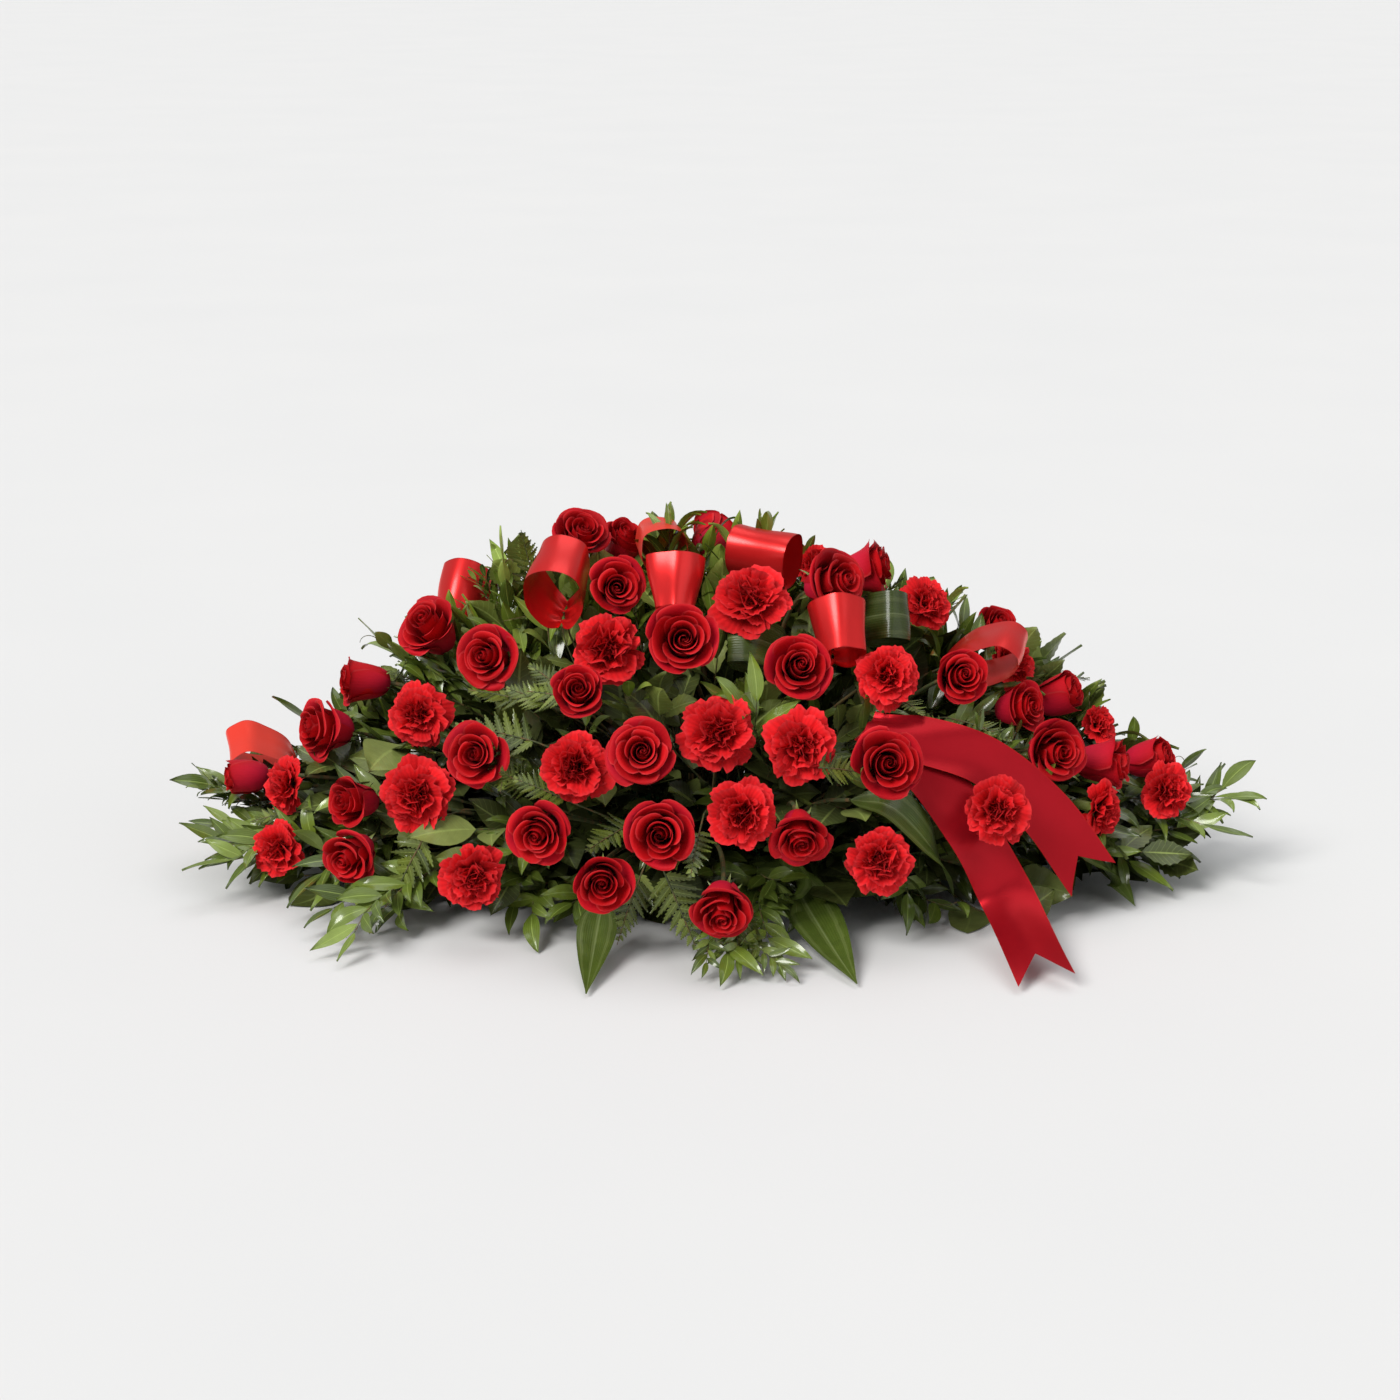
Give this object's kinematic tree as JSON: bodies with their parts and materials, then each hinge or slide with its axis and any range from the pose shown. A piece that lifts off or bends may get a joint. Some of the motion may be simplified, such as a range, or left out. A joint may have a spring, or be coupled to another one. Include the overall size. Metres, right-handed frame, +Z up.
{
  "type": "casket spray",
  "caption": "Low bow-shaped mound of red roses, red carnations and mixed greens on a flat foam tray, with rolled satin ribbon loops and two swallow-tailed ribbon ends",
  "frame": {"origin": "centre of the tray's flat underside, which the spray rests on", "axes": "+X runs along the spray from its left wing to its right wing as seen from the front, -Y is the front that the ribbon tails hang down, +Z is up"},
  "size_m": [1.151, 0.6591, 0.3942],
  "materials": {
    "rose_petal": "velvety dark red, lighter and pinker at the rims",
    "carnation_petal": "matt bright red, deeper in the folds",
    "satin_ribbon": "satin with a soft bright band along each bend",
    "ruscus_leaf": "glossy mid green",
    "fern_frond": "matt dark green",
    "salal_leaf": "waxy grey green with pale veins",
    "ti_leaf": "glossy very dark green with fine ribs",
    "tray_plastic": "dark green moulded plastic",
    "floral_foam": "fine-celled, soaked and dull"
  },
  "bodies": {
    "root": {"saddle_tray": "tray_plastic", "floral_foam_left": "floral_foam", "floral_foam_right": "floral_foam", "ribbon_loop_far_left": "satin_ribbon", "ribbon_loop_left": "satin_ribbon", "ribbon_loop_big": "satin_ribbon", "ribbon_loops_crest": "satin_ribbon", "ribbon_loop_right_of_crest": "satin_ribbon", "ribbon_loop_right": "satin_ribbon", "ribbon_loop_far_right": "satin_ribbon", "ribbon_tails": "satin_ribbon", "ti_leaf_loops": "ti_leaf", "ti_leaf_front_left": "ti_leaf", "ti_leaf_front_right": "ti_leaf", "ti_leaves_right": "ti_leaf", "roses_crest_left": "rose_petal", "roses_crest": "rose_petal", "roses_centre": "rose_petal", "roses_left_centre": "rose_petal", "roses_front_left": "rose_petal", "roses_front": "rose_petal", "roses_front_right": "rose_petal", "roses_crest_right": "rose_petal", "roses_left_shoulder": "rose_petal", "roses_left_wing": "rose_petal", "roses_left_front": "rose_petal", "roses_right_shoulder": "rose_petal", "roses_right_wing": "rose_petal", "roses_right_tip": "rose_petal", "roses_back_left": "rose_petal", "roses_back_right": "rose_petal", "carnations_centre_left": "carnation_petal", "carnations_crest": "carnation_petal", "carnations_centre": "carnation_petal", "carnations_right_centre": "carnation_petal", "carnations_left": "carnation_petal", "carnations_left_wing": "carnation_petal", "carnations_right_shoulder": "carnation_petal", "carnations_front_right": "carnation_petal", "carnations_right_wing": "carnation_petal", "carnations_back_left": "carnation_petal", "carnations_back_right": "carnation_petal", "fern_front_left": "fern_frond", "fern_front": "fern_frond", "fern_left_centre": "fern_frond", "fern_crest": "fern_frond", "fern_back": "fern_frond", "ruscus_left_wing": "ruscus_leaf", "ruscus_right_wing": "ruscus_leaf", "ruscus_crest": "ruscus_leaf", "ruscus_left_shoulder": "ruscus_leaf", "ruscus_right_shoulder": "ruscus_leaf", "ruscus_front_left": "ruscus_leaf", "ruscus_front": "ruscus_leaf", "ruscus_front_right": "ruscus_leaf", "ruscus_centre": "ruscus_leaf", "ruscus_back": "ruscus_leaf", "salal_left": "salal_leaf", "salal_front": "salal_leaf", "salal_back": "salal_leaf"}
  },
  "joints": []
}
